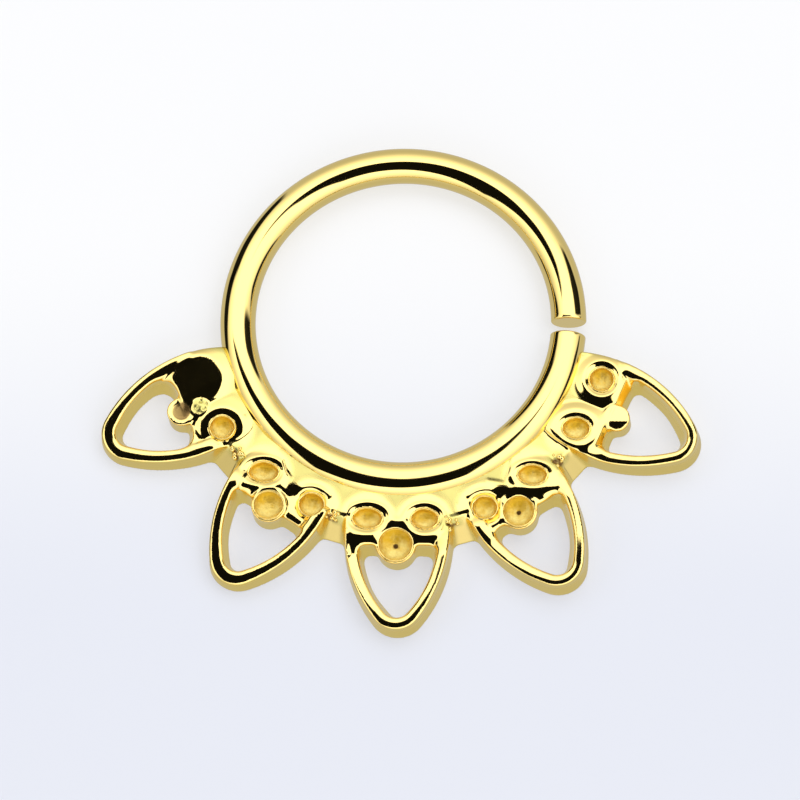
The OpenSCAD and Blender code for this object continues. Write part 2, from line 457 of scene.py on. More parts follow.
# %% Sizes of the casting
# Outline of a petal, its rim and its window
PETAL_W = 3.7
SIDE_R = 5.0
TIP_R = 1.0
TIP_MID_V = PETAL_TIP_V - TIP_R
SIDE_MID_U = SIDE_R - PETAL_W / 2
SIDE_MID_V = TIP_MID_V - math.sqrt((SIDE_R - TIP_R) ** 2 - SIDE_MID_U ** 2)
ROOT_V = 5.9
RIM_H = 0.98
RIM_BACK_W = (0.62, 0.76)
RIM_FRONT_W = 0.44
RIM_INNER = 0.5
RIM_LEAN = 0.08
ROOT_LEAN = 0.8
CREST_R = 0.82
TIP_FALL = 0.05
TIP_FALL_V = 9.6
BAR_V = 8.13
BAR_DRAFT = 0.18
CORNER = 0.35
WIDE_CORNER = 0.8
# Flange, and the webs between petals
WEB_BACK_R = 7.98
WEB_FRONT_R = 7.3
WEB_SPAN = (math.radians(8), math.radians(13))
FLANGE_H = (0.93, 0.84)
FLANGE_STEP = (math.radians(41), math.radians(49))
# Lobes that hold the small seats, and the recess round a seat
LOBE_H = 0.98
LOBE_EDGE = 0.17
LOBE_FALL = 0.42
LOBE_EASE = 0.06
LOBE_HULL = (1.55, 7.05)
FLAT_CREST = 0.38
LEANING_DROP = 0.04
LEANING_SLOPE = 0.15
RECESS_R = 0.47
SMALL_BORE_R = 0.42
SMALL_BORE_DEPTH = 0.42
SMALL_WALL = 0.06
# Large seat, and the valley, step or slope towards it
LARGE_TOP = 0.90
LARGE_BORE_DEPTH = 0.55
BORE_LAP = 0.01
BOSS_WALL = 0.10
VALLEY_V = 7.67
VALLEY_SLOPE = 0.28
STEP_VALLEY_V = 7.80
STEP_DROP = 0.12
STEP_WIDE = 0.40
LEDGE_V = 7.8
TIP_SIDE_V = 8.3
# Knob of the left petal as u, v, height and radius, its pits, and the facet beside it
KNOB = (0.17, 7.44, 0.66, 0.40)
KNOB_PIT_TURNS = (90, 210, 330)
KNOB_PIT_OFF = 0.16
KNOB_PIT_R = 0.065
KNOB_PIT_SINK = 0.02
FACET_R = 0.31
# Solder joints with their pits, and the creases in the flange
JOINTS = ((-48.8, 7.33), (-17.4, 7.38), (14.1, 7.43), (47.3, 7.25))
JOINT_PITS = ((-0.6, -0.02), (0.7, 0.05), (0.2, 0.14))
JOINT_PIT_R = 0.095
JOINT_PIT_Z = 0.88
CREASES = (((-37.4, 6.39), (-35.1, 6.60), (-32.5, 6.73)),
           ((38.2, 6.12), (34.8, 6.47), (31.9, 6.76), (28.1, 6.43)))
CREASE_R = 0.04
CREASE_Z = 0.96
# Widths of soft edges, the sharpest first
FINE = 0.03
STUD_EDGE = 0.04
PIT_EDGE = 0.04
CRISP = 0.05
BACK_EDGE = 0.07
ROUND = 0.08
STUD_FILLET = 0.15
# Farther than any place on the fan
FAR = 9.0
print("a petal is", PETAL_W, "mm wide, and its tip is", PETAL_TIP_V, "mm from the hoop's middle")

# %% [markdown]
# The five petals are one pattern, carved by hand, so each has its own lean, rim and seats.
# The two end petals differ most: the left one has a dished place instead of a seat and a
# small pitted knob, and both have a large seat that is filled with metal.

# %% Petals
class Petal:
    """One petal: its turn, the shape of its rim, and its three seats.

    leans and twist say how the rim leans. crest is how far inside the outline the rim is
    highest, joins is where the level lobes pass into the leaning rim, and step_y is where
    the front steps down. A small seat is its place (u, v) in the petal, its kind, how wide
    and how tall it is, the depth and the reach of the recess round it, and the radius of
    the lobe that holds it. Its kind is open, leaning or flat, and a flat one has no bore.
    The large seat is its place, its kind, its bore radius and the radius of the valley
    round it. Its kind is plain, drilled, filled or pitted, and the last two have no bore.
    """

    def __init__(self, turn, leans, twist, crest, joins, step_y, left, right, large):
        self.turn = math.radians(turn)
        self.down, self.side = (math.tan(math.radians(lean)) for lean in leans)
        self.step_y = step_y
        self.twist = twist
        self.crest = crest
        self.joins = joins
        self.seats = (left, right, large)
        self.large = large[:2]
        self.bore_r, self.valley_r = large[3:]
        self.filled = large[2] in ("filled", "pitted")
        self.middle = self.place(0, 8.0 if left[2] == "flat" else 8.8)

    def place(self, u, v):
        """Where a point of the petal lies, from the hoop's middle."""
        return (u * math.cos(self.turn) + v * math.sin(self.turn),
                u * math.sin(self.turn) - v * math.cos(self.turn))

    def local(self, x, y):
        """The petal's own u and v at a point."""
        cos, sin = math.cos(self.turn), math.sin(self.turn)
        return x * cos + y * sin, x * sin - y * cos

    def away(self, u, v, seat):
        """How far a point lies from a small seat's middle, measured as if the seat were round."""
        x, y = self.place(u, v)
        seat_x, seat_y = self.place(*seat[:2])
        wide, tall = seat[3]
        return np.hypot((x - seat_x) / wide, (y - seat_y) / tall)

    def lift(self, u, v):
        """How far the leaning front stands above its mean height at that point."""
        x, y = self.place(u, v)
        lean = self.down * (y - self.middle[1]) + self.side * (x - self.middle[0])
        return lean * self.rim_share(u, v) - self.twist * u * np.maximum(v - 8.2, 0.0)

    def rim_share(self, u, v):
        """Gives 1 on the rim and 0 at the level lobes. A flat lobe leans with the rim."""
        early = ROOT_LEAN * ramp(u, 1.15, 1.5) if self.seats[2][2] == "plain" else 0.0
        lobes = 1 - ramp(v + early, *self.joins)
        if self.seats[0][2] == "flat":
            lobes = lobes * ramp(u, -0.4, 0.2)
        return 1 - lobes


PETALS = (
    Petal(PETAL_ANGLES[0], (4.5, 3), 0.0, 0.26, (7.4, 8.4), None,
          (-0.74, 7.16, "flat", (1, 1), 0.0, 0.9, 0.98),
          (1.15, 7.05, "leaning", (0.95, 0.93), 0.0, 0.72, 0.88),
          (0.06, 8.10, "pitted", 0.39, 0.6)),
    Petal(PETAL_ANGLES[1], (5.5, 4), 0.0, 0.26, (7.2, 8.0), -5.9,
          (-0.90, 7.05, "open", (1.15, 0.82), 0.065, 0.68, 0.78),
          (1.09, 7.12, "open", (0.97, 0.95), 0.06, 0.67, 0.78),
          (-0.10, 7.94, "plain", 0.49, 0.86)),
    Petal(PETAL_ANGLES[2], (0, 5), 0.03, 0.22, (7.4, 8.4), None,
          (-1.02, 7.05, "open", (1.15, 0.82), 0.075, 0.72, 0.78),
          (0.91, 7.05, "open", (1.03, 0.82), 0.07, 0.70, 0.78),
          (-0.05, 7.95, "drilled", 0.56, 0.84)),
    Petal(PETAL_ANGLES[3], (0.5, 5), 0.0, 0.20, (7.4, 8.4), -5.9,
          (-1.09, 7.16, "open", (0.95, 0.92), 0.07, 0.70, 0.78),
          (0.87, 7.03, "open", (1.12, 0.80), 0.025, 0.62, 0.78),
          (-0.18, 7.85, "drilled", 0.52, 0.86)),
    Petal(PETAL_ANGLES[4], (1.5, 5), 0.0, 0.27, (7.4, 8.4), None,
          (-1.05, 6.99, "open", (1.05, 0.87), 0.03, 0.60, 0.92),
          (0.89, 7.04, "open", (0.93, 0.97), 0.07, 0.68, 0.80),
          (-0.12, 8.06, "filled", 0.34, 0.6)),
)
print(len(PETALS), "petals, with large seats", [petal.seats[2][2] for petal in PETALS])

# %% [markdown]
# A petal's metal lies inside its outline and outside its window, above the back and below
# the front. The front is the highest of three forms: the flange, the lobes that hold the
# small seats, and the rim with its rounded crest. It steps or slopes down to a valley round
# the large seat, whose boss is melted on last.

# %% One petal as a distance formula
def petal_depth(u, v):
    """How far inside the petal's outline a point lies."""
    au = np.abs(u)
    side = SIDE_R - np.hypot(au + SIDE_MID_U, v - SIDE_MID_V)
    tip = TIP_R - np.hypot(au, v - TIP_MID_V)
    past = SIDE_MID_U * (v - SIDE_MID_V) - (TIP_MID_V - SIDE_MID_V) * (au + SIDE_MID_U)
    return np.where(past > 0, tip, side)


def flange_top(x, y):
    """The flange is lower beside the two outer petals."""
    turn = np.abs(np.arctan2(x, -y))
    return FLANGE_H[0] + (FLANGE_H[1] - FLANGE_H[0]) * ramp(turn, *FLANGE_STEP)


def petal_front(petal, u, v, depth, flange):
    """Height of the casting's front above its flat back."""
    outer = (np.minimum(depth, petal.crest) - petal.crest) ** 2 / (2 * CREST_R)
    lift = petal.lift(u, v)
    front = flange
    away = [petal.away(u, v, seat) for seat in petal.seats[:2]]
    y = petal.place(u, v)[1]
    if not petal.filled:
        middle_u = (petal.seats[0][0] + petal.seats[1][0]) / 2
        hull = soft_max(np.abs(u - middle_u) - LOBE_HULL[0], LOBE_HULL[1] - v, 0.3)
    for (seat_u, seat_v, kind, shape, sink, reach, lobe_r), rho in zip(petal.seats[:2], away):
        lobe = rho - lobe_r
        if not petal.filled:
            lobe = soft_min(lobe, hull, 0.4)
        foot = np.maximum(lobe + LOBE_EDGE, 0.0)
        top = LOBE_H - LOBE_FALL * foot ** 2 / (foot + LOBE_EASE)
        if kind == "flat":
            top = top + lift - (np.minimum(depth, FLAT_CREST) - FLAT_CREST) ** 2 / (2 * CREST_R)
        elif kind == "leaning":
            top = top - LEANING_DROP + LEANING_SLOPE * (y - petal.place(seat_u, seat_v)[1])
        else:
            top = top - outer
        front = soft_max(front, top, FINE)
    for (seat_u, seat_v, kind, shape, sink, reach, lobe_r), rho in zip(petal.seats[:2], away):
        front = front - sink * (1 - ramp(rho, RECESS_R, reach))
    if petal.step_y is not None:
        front = front - STEP_DROP * ramp(petal.step_y - y, 0.0, STEP_WIDE) * ramp(v, 6.45, 6.85)
        valley = np.maximum(v - STEP_VALLEY_V, 0.0)
        front = front - VALLEY_SLOPE * valley ** 2 / (valley + 0.02)
    elif petal.filled:
        edge_v = TIP_SIDE_V if petal.seats[0][2] == "flat" else LEDGE_V
        front = front - np.maximum(v - edge_v, 0.0)
    else:
        large_away = np.hypot(u - petal.large[0], v - petal.large[1])
        edge = soft_max(v - VALLEY_V, petal.valley_r - large_away, 0.1)
        valley = np.maximum(edge, 0.0) * ramp(depth, 0.1, 0.3)
        front = front - VALLEY_SLOPE * valley ** 2 / (valley + 0.02) - np.maximum(v - TIP_SIDE_V, 0.0)
    crown = (depth - petal.crest) ** 2 / (2 * CREST_R)
    rim = RIM_H - crown - TIP_FALL * np.maximum(v - TIP_FALL_V, 0.0) ** 2
    rim = rim - np.maximum(depth - RIM_INNER, 0.0)
    rim = rim - 0.3 * ramp(-v, -7.7, -6.7) * (1 - petal.rim_share(u, v)) - 0.4 * ramp(-v, -7.1, -6.6)
    return soft_max(front, rim + lift, CRISP)


def stud_top(petal, x, y):
    """Height of the large seat's stud. A filled seat falls away on its lower side."""
    top = LARGE_TOP - 0.05 + petal.lift(*petal.large)
    middle = petal.place(*petal.large)
    kind = petal.seats[2][2]
    if kind == "filled":
        return top + 0.08 - 0.5 * np.maximum(middle[1] - 0.17 - y, 0.0)
    if kind == "pitted":
        rho = np.hypot(x - middle[0], y - middle[1])
        return top + 0.05 - 0.03 * (1 - ramp(rho, FACET_R - 0.08, FACET_R + 0.02))
    return top


def window_and_boss(petal, u, v, z):
    """How far a point lies outside the petal's window, and outside the large seat's boss."""
    up = z / RIM_H
    back_w = RIM_BACK_W[0] + (RIM_BACK_W[1] - RIM_BACK_W[0]) * ramp(v, 9.2, 10.7)
    inner_w = back_w + (RIM_FRONT_W - back_w) * up
    corner = WIDE_CORNER if petal.seats[0][2] == "flat" else CORNER
    window = soft_max(inner_w - petal_depth(u, v), BAR_V - BAR_DRAFT * up - v, corner)
    rho = np.hypot(u - petal.large[0], v - petal.large[1])
    return window, rho - (petal.bore_r + BOSS_WALL)


def petal_field(petal, x, y, z, flange):
    u, v = petal.local(x, y)
    depth = petal_depth(u, v)
    window, boss = window_and_boss(petal, u, v, z)
    metal = soft_max(RIM_LEAN * z / RIM_H - depth, -window, CRISP)
    metal = soft_max(metal, ROOT_V - v, CRISP)
    metal = soft_max(metal, z - petal_front(petal, u, v, depth, flange), ROUND)
    stud = soft_max(boss, z - stud_top(petal, x, y), STUD_EDGE)
    metal = soft_min(metal, stud, STUD_FILLET)
    if petal.seats[2][2] == "pitted":
        knob = np.sqrt((u - KNOB[0]) ** 2 + (v - KNOB[1]) ** 2 + (z - KNOB[2]) ** 2) - KNOB[3]
        metal = soft_min(metal, knob, ROUND)
        for turn in KNOB_PIT_TURNS:
            pit_u = KNOB[0] + KNOB_PIT_OFF * math.cos(math.radians(turn))
            pit_v = KNOB[1] + KNOB_PIT_OFF * math.sin(math.radians(turn))
            up = z - KNOB[2] - KNOB[3] + KNOB_PIT_SINK
            pit = np.sqrt((u - pit_u) ** 2 + (v - pit_v) ** 2 + up ** 2) - KNOB_PIT_R
            metal = soft_max(metal, -pit, FINE)
    return metal


def seat_bores(petal):
    """The holes that the seat cups sit in: place, radius, wide and tall, and floor of each.

    A hole is a little smaller than its cup, so that the cup's wall is sunk in the metal.
    """
    holes = []
    for u, v, kind, *more in petal.seats:
        if kind in ("open", "leaning"):
            shape, sink = more[:2]
            floor = LOBE_H - sink - SMALL_BORE_DEPTH + petal.lift(u, v)
            holes.append((u, v, SMALL_BORE_R + SMALL_WALL / 2, shape, floor))
        if kind in ("plain", "drilled"):
            floor = LARGE_TOP - LARGE_BORE_DEPTH + petal.lift(u, v)
            holes.append((u, v, petal.bore_r - BORE_LAP, (1, 1), floor))
    return holes


print("seats with a bore:", sum(len(seat_bores(petal)) for petal in PETALS))

# %% [markdown]
# The fan is the flange and its webs with the five petals melted in. The holes for the
# cups, the small pits at the joints and the fine creases in the flange are cut out of it.
# A second function says which places were left satin and which are painted dark: painted
# shade in pits and creases, and a painted dark reflection on a facet.

# %% The whole fan
FAN_END = math.radians(PETAL_ANGLES[-1] + 13.0)
WEB_H = 0.82
PETAL_REACH = math.radians(21)
FRONT_SHIFT = 0.05


def fan_field(x, y, z):
    """A value below zero inside the casting. x and y count from the hoop's middle."""
    x = x + FRONT_SHIFT * z
    r = np.hypot(x, y)
    phi = np.arctan2(x, -y)
    up = z / WEB_H
    off_petal = np.min([np.abs(phi - petal.turn) for petal in PETALS], axis=0)
    wall = r - (WEB_BACK_R - (WEB_BACK_R - WEB_FRONT_R) * up)
    web = soft_max(wall * 0.8, ROOT_V - r, CRISP)
    web = soft_max(web, (np.abs(phi) - FAN_END) * r, CRISP)
    flange = flange_top(x, y)
    covered = (1 - ramp(off_petal, *WEB_SPAN)) * ramp(r, 6.6, 7.0)
    web = soft_max(web, z - flange + 0.4 * covered, ROUND)
    blend = 0.002 + 0.2 * ramp(r, 7.1, 7.5)
    field = web
    for petal in PETALS:
        close = np.abs(phi - petal.turn) < PETAL_REACH
        part = petal_field(petal, x[close], y[close], z[close], flange[close])
        field[close] = soft_min(field[close], part, blend[close])
    for petal in PETALS:
        for seat_u, seat_v, radius, (wide, tall), floor in seat_bores(petal):
            hole_x, hole_y = petal.place(seat_u, seat_v)
            rho = np.hypot((x - hole_x) / wide, (y - hole_y) / tall)
            bore = np.maximum(rho - radius, floor - z)
            field = np.maximum(field, -bore)
    for pit_x, pit_y in joint_pits():
        pit = np.sqrt((x - pit_x) ** 2 + (y - pit_y) ** 2 + (z - JOINT_PIT_Z) ** 2) - JOINT_PIT_R
        field = soft_max(field, -pit, PIT_EDGE)
    crease = np.hypot(off_crease(x, y), z - CREASE_Z) - CREASE_R
    field = soft_max(field, -crease, FINE)
    return soft_max(field, -z, BACK_EDGE)


def at_turn(turn, r):
    """The place at a turn in degrees and a distance from the hoop's middle."""
    return r * math.sin(math.radians(turn)), -r * math.cos(math.radians(turn))


def off_crease(x, y):
    """How far a point lies from the nearest crease in the flange."""
    nearest = np.full(x.shape, FAR)
    for crease in CREASES:
        bends = [at_turn(turn, r) for turn, r in crease]
        for (ax, ay), (bx, by) in zip(bends, bends[1:]):
            length2 = (bx - ax) ** 2 + (by - ay) ** 2
            share = np.clip(((x - ax) * (bx - ax) + (y - ay) * (by - ay)) / length2, 0.0, 1.0)
            nearest = np.minimum(nearest, np.hypot(x - ax - share * (bx - ax), y - ay - share * (by - ay)))
    return nearest


def joint_pits():
    """Where the solder left small pits between the petals."""
    return [at_turn(turn + more_turn, r + more_r)
            for turn, r in JOINTS for more_turn, more_r in JOINT_PITS]


def finish_marks(x, y, z):
    """Where the casting is satin, and where it is painted dark: painted shade in pits and creases, and a
    painted dark reflection on a facet.
    """
    x = x + FRONT_SHIFT * z
    r = np.hypot(x, y)
    off_lobe = np.full(x.shape, FAR)
    stain = np.zeros(x.shape)
    above_step = np.ones(x.shape)
    for petal in PETALS:
        u, v = petal.local(x, y)
        if petal.step_y is not None:
            below = (1 - ramp(y, petal.step_y - 0.02, petal.step_y + 0.1)) * ramp(v, 6.45, 6.7)
            above_step = above_step * (1 - below * (petal_depth(u, v) > -0.1))
        for seat_u, seat_v, kind, shape, sink, reach, lobe_r in petal.seats[:2]:
            seat_x, seat_y = petal.place(seat_u, seat_v)
            off_lobe = np.minimum(off_lobe, np.hypot(x - seat_x, y - seat_y) - lobe_r)
        # The facet beside the knob is painted brown, darker towards +x: a painted dark reflection.
        if petal.seats[2][2] == "pitted":
            hollow_x, hollow_y = petal.place(*petal.large)
            rho = np.hypot(x - hollow_x, y - hollow_y)
            darker = np.clip(0.92 + 0.4 * (x - hollow_x), 0.0, 1.0)
            facet = 1 - ramp(rho, FACET_R - 0.03, FACET_R + 0.02)
            stain = np.maximum(stain, darker * facet * ramp(z, 0.5, 0.6))
    # Painted shade in the joint pits and, fainter, along the creases.
    for pit_x, pit_y in joint_pits():
        rho = np.hypot(x - pit_x, y - pit_y)
        stain = np.maximum(stain, (1 - ramp(rho, 0.07, 0.12)) * ramp(z, 0.6, 0.7))
    stain = np.maximum(stain, 0.3 * (1 - ramp(off_crease(x, y), 0.02, 0.07)) * ramp(z, 0.6, 0.7))
    satin = ramp(off_lobe, 0.0, 0.36) * (1 - ramp(r, 7.0, 7.4))
    knob_x, knob_y = PETALS[0].place(*KNOB[:2])
    satin = np.maximum(satin, 1 - ramp(np.hypot(x - knob_x, y - knob_y), 0.22, 0.30))
    for joint in JOINTS:
        joint_x, joint_y = at_turn(*joint)
        rho = np.hypot(x - joint_x, y - joint_y)
        satin = np.maximum(satin, 1 - ramp(rho, 0.25, 0.5))
    return satin * above_step * ramp(z, 0.55, 0.75), stain


print("the field in the flange at (0, -6.5, 0.4) is",
      fan_field(*np.array([[0.0], [-6.5], [0.4]])).round(2)[0], "mm")


# %% [markdown]
# A surface net puts one point in every small cell that the surface passes through and
# joins the points across the cell walls. A few rounds of evening out and of moving each
# point straight back onto the surface give a clean, closed mesh of nearly square faces.

# %% Surface net
def surface_net(field, r_axis, phi_axis, z_axis):
    """Points and quads of the surface where the field is zero, on a grid of turn and radius."""
    grid_r, grid_phi, grid_z = np.meshgrid(r_axis, phi_axis, z_axis, indexing="ij")
    shape = grid_r.shape
    x = (grid_r * np.sin(grid_phi)).ravel()
    y = (-grid_r * np.cos(grid_phi)).ravel()
    value = field(x, y, grid_z.ravel()).reshape(shape)
    inside = value < 0
    cell = np.zeros([n - 1 for n in shape], int)
    for i in (0, 1):
        for j in (0, 1):
            for k in (0, 1):
                cell += inside[i:shape[0] - 1 + i, j:shape[1] - 1 + j, k:shape[2] - 1 + k]
    active = (cell > 0) & (cell < 8)
    number = np.full(cell.shape, -1)
    number[active] = np.arange(active.sum())
    at = np.argwhere(active)
    total = np.zeros((len(at), 3))
    hits = np.zeros(len(at))
    for axis in range(3):
        others = [a for a in range(3) if a != axis]
        for p in (0, 1):
            for q in (0, 1):
                low = at.copy()
                low[:, others[0]] += p
                low[:, others[1]] += q
                high = low.copy()
                high[:, axis] += 1
                a = value[tuple(low.T)]
                b = value[tuple(high.T)]
                cross = (a < 0) != (b < 0)
                share = np.where(cross, a / np.where(cross, a - b, 1.0), 0.0)
                spot = low.astype(float)
                spot[:, axis] += share
                total += spot * cross[:, None]
                hits += cross
    middle = total / hits[:, None]
    r = np.interp(middle[:, 0], np.arange(shape[0]), r_axis)
    phi = np.interp(middle[:, 1], np.arange(shape[1]), phi_axis)
    z = np.interp(middle[:, 2], np.arange(shape[2]), z_axis)
    points = np.column_stack([r * np.sin(phi), -r * np.cos(phi), z])
    quads = []
    for axis in range(3):
        one, two = (axis + 1) % 3, (axis + 2) % 3
        low = [slice(None)] * 3
        high = [slice(None)] * 3
        low[axis], high[axis] = slice(0, -1), slice(1, None)
        a = inside[tuple(low)]
        b = inside[tuple(high)]
        for leaving in (True, False):
            edges = np.argwhere((a & ~b) if leaving else (~a & b))
            edges = edges[(edges[:, one] > 0) & (edges[:, two] > 0)]
            corners = []
            for shift_one, shift_two in ((-1, -1), (0, -1), (0, 0), (-1, 0)):
                c = edges.copy()
                c[:, one] += shift_one
                c[:, two] += shift_two
                corners.append(number[tuple(c.T)])
            quad = np.column_stack(corners)
            quads.append(quad if leaving else quad[:, ::-1])
    return points, np.vstack(quads)


def slope(field, points, reach=0.002):
    """The field's value and its gradient at each point."""
    value = field(*points.T)
    grad = np.column_stack([
        field(*(points + np.eye(3)[axis] * reach).T) - value for axis in range(3)]) / reach
    return value, grad


def settle(field, points, quads, rounds):
    """Evens out the points and moves them back onto the surface."""
    edges = np.vstack([quads[:, [i, (i + 1) % 4]] for i in range(4)])
    for step_number in range(rounds):
        total = np.zeros_like(points)
        count = np.zeros(len(points))
        for a, b in ((0, 1), (1, 0)):
            np.add.at(total, edges[:, a], points[edges[:, b]])
            np.add.at(count, edges[:, a], 1)
        value, grad = slope(field, points)
        size2 = (grad ** 2).sum(1) + 1e-9
        drift = total / count[:, None] - points
        normal = grad / np.sqrt(size2)[:, None]
        drift -= normal * (drift * normal).sum(1)[:, None]
        shift = -grad * (value / size2)[:, None]
        length = np.linalg.norm(shift, axis=1, keepdims=True)
        shift *= np.minimum(1.0, 0.03 / np.maximum(length, 1e-9))
        points = points + shift + drift * (0.5 if step_number < rounds - 2 else 0.0)
    return points


print("net helpers ready")

# %% [markdown]
# The fan's net is laid over a slice of a ring round the hoop's middle, a little larger than
# the casting. Once its points have settled, each gets its marks: satin and painted dark from
# where it lies, and side wall from how steep the surface is there. Side wall gives a duller
# finish and a colour of painted shade.

# %% Petal fan
CELL = 0.056
CELL_TURN_R = 8.6
NET_R = (5.75, 11.2)
NET_TURN = (-84, 84.01)
NET_Z = (-0.0733, 1.3)
SETTLE_ROUNDS = 5


def paint(mesh, marks):
    """Writes the values of each mark, one for every point of the mesh."""
    for name, values in marks.items():
        mesh.attributes.new(name, "FLOAT", "POINT").data.foreach_set("value", values)


r_axis = np.arange(*NET_R, CELL)
phi_axis = np.radians(np.arange(*NET_TURN, math.degrees(CELL / CELL_TURN_R)))
z_axis = np.arange(*NET_Z, CELL)
points, quads = surface_net(fan_field, r_axis, phi_axis, z_axis)
points = settle(fan_field, points, quads, SETTLE_ROUNDS)
grad = slope(fan_field, points)[1]
# Steep walls low down get the side wall mark: a duller finish and a colour of painted shade.
steep = 1 - ramp(np.abs(grad[:, 2]) / np.linalg.norm(grad, axis=1), 0.35, 0.7)
side_wall = steep * (1 - ramp(points[:, 2], 0.66, 0.84))
satin, stain = finish_marks(*points.T)
points[:, 1] += HOOP_MID_Y
fan_mesh = bpy.data.meshes.new("petal_fan")
fan_mesh.from_pydata((points * MM).tolist(), [], quads.tolist())
fan_mesh.validate()
fan_mesh.shade_smooth()
paint(fan_mesh, {"satin": satin, "stain": stain, "side wall": side_wall})
fan_mesh.materials.append(polished_gold)
petal_fan = new_object("petal_fan", fan_mesh)
print("petal_fan has", len(points), "points and", len(quads), "faces")

# %% [markdown]
# The stone seats are small cups drilled by the setter. They repeat, so one lathe-turned
# cup of each kind is made and Geometry Nodes put it on every place where a seat belongs.
# A cup's profile is its radius, its height and how much of it is the frosted inside.

# %% Seat cup profiles
SEAT_SIDES = 72
LARGE_BORE_R = 0.52
SMALL_CUP = ((0.0, -0.46, 0), (SMALL_BORE_R + SMALL_WALL, -0.46, 0), (SMALL_BORE_R + SMALL_WALL, -0.06, 0),
             (SMALL_BORE_R + 0.05, -0.02, 0), (SMALL_BORE_R + 0.03, 0.0, 0), (SMALL_BORE_R + 0.01, -0.012, 0),
             (SMALL_BORE_R - 0.005, -0.04, 0.3), (0.395, -0.09, 1), (0.36, -0.15, 1), (0.30, -0.20, 1),
             (0.21, -0.235, 1), (0.12, -0.25, 1), (0.05, -0.255, 1), (0.0, -0.255, 1))
LARGE_CUP = ((0.0, -0.60, 0), (0.50, -0.60, 0), (0.55, -0.10, 0), (0.575, -0.04, 0), (0.56, -0.005, 0),
             (0.535, 0.0, 0), (LARGE_BORE_R, -0.025, 0.3), (0.485, -0.07, 1), (0.43, -0.13, 1),
             (0.35, -0.18, 1), (0.25, -0.215, 1), (0.15, -0.235, 1), (0.08, -0.24, 1), (0.0, -0.24, 1))
DRILLED_CUP = LARGE_CUP[:-2] + ((0.09, -0.24, 1), (0.065, -0.30, 1), (0.0, -0.34, 1))
HOLE_R = 0.07


def turned_cup(name, profile):
    """A closed mesh turned from a profile of radius, height and inside mark."""
    angles = np.linspace(0, 2 * math.pi, SEAT_SIDES, endpoint=False)
    rings = profile[1:-1]
    verts = [(0, 0, profile[0][1] * MM)]
    marks = [profile[0][2]]
    for radius, height, mark in rings:
        verts += [(radius * math.cos(a) * MM, radius * math.sin(a) * MM, height * MM) for a in angles]
        marks += [mark] * SEAT_SIDES
    verts.append((0, 0, profile[-1][1] * MM))
    marks.append(profile[-1][2])
    reach = max(radius for radius, height, mark in profile) * MM
    # How low a point lies in the cup. It places the painted glint.
    lower = [0.5 - 0.5 * y / reach for x, y, z in verts]
    # The drilled cup's small middle hole is painted dark as painted shade.
    hole = [float(profile is DRILLED_CUP and marked and math.hypot(x, y) < HOLE_R * MM)
            for (x, y, z), marked in zip(verts, marks)]
    top = len(verts) - 1
    faces = []
    for i in range(SEAT_SIDES):
        j = (i + 1) % SEAT_SIDES
        faces.append((0, 1 + j, 1 + i))
        for ring in range(len(rings) - 1):
            a = 1 + ring * SEAT_SIDES
            b = a + SEAT_SIDES
            faces.append((a + i, a + j, b + j, b + i))
        c = 1 + (len(rings) - 1) * SEAT_SIDES
        faces.append((c + i, c + j, top))
    mesh = bpy.data.meshes.new(name)
    mesh.from_pydata(verts, [], faces)
    paint(mesh, {"inside": marks, "lower": lower, "stain": hole})
    return new_object(name, mesh)


CUP_KINDS = {"small": turned_cup("small_cup", SMALL_CUP), "plain": turned_cup("plain_cup", LARGE_CUP),
             "drilled": turned_cup("drilled_cup", DRILLED_CUP)}
print("cups turned:", list(CUP_KINDS))

# %% [markdown]
# Each place carries how wide and tall its cup is and which cup belongs there. The tree
# puts the cups on, and a little noise moves their thin edges, because each one was touched
# up by hand.

# %% Seat cups
seat_places = []
for petal in PETALS:
    for seat_u, seat_v, kind, *more in petal.seats:
        if kind in ("open", "leaning"):
            cup_kind, (wide, tall), top = "small", more[0], LOBE_H - more[1] + 0.02
        elif kind in ("plain", "drilled"):
            cup_kind, top = kind, LARGE_TOP
            wide = tall = petal.bore_r / LARGE_BORE_R
        else:
            continue
        x, y = petal.place(seat_u, seat_v)
        top += petal.lift(seat_u, seat_v)
        seat_places.append((x - FRONT_SHIFT * top, y + HOOP_MID_Y, top, wide, tall,
                            list(CUP_KINDS).index(cup_kind)))

nodes, size = new_tree("cups_on_places", Float=("Edge roughness", "Noise scale"),
                       Object=[kind + " cup" for kind in CUP_KINDS])
joined = nodes.tree.nodes.new("GeometryNodeJoinGeometry")


def place_attribute(name, kind="FLOAT"):
    return nodes.make("GeometryNodeInputNamedAttribute", {"data_type": kind}, {"Name": name})


stretch = nodes.make("ShaderNodeCombineXYZ", None,
                     {0: place_attribute("wide"), 1: place_attribute("tall"), 2: 1.0})
for number, kind in enumerate(CUP_KINDS):
    cup = nodes.make("GeometryNodeObjectInfo", None, {"Object": size[kind + " cup"]}, out="Geometry")
    chosen = (place_attribute("kind") - number).math("ABSOLUTE").math("LESS_THAN", 0.5)
    cups = nodes.make("GeometryNodeInstanceOnPoints", None,
                      {"Points": size["Geometry"], "Selection": chosen, "Instance": cup,
                       "Scale": stretch})
    nodes.tree.links.new(cups.socket, joined.inputs[0])
loose = nodes.make("GeometryNodeRealizeInstances", None, {"Geometry": Wire(nodes.tree, joined.outputs[0])})
noise = nodes.make("ShaderNodeTexNoise", None, {"Scale": size["Noise scale"], "Detail": 2.0}, out="Color")
jitter = nodes.make("ShaderNodeVectorMath", {"operation": "SUBTRACT"}, {0: noise, 1: (0.5, 0.5, 0.5)})
push = nodes.make("ShaderNodeVectorMath", {"operation": "SCALE"},
                  {0: jitter, "Scale": size["Edge roughness"]})
roughened = nodes.make("GeometryNodeSetPosition", None, {"Geometry": loose, "Offset": push})
close_tree(nodes, roughened, seat_gold)

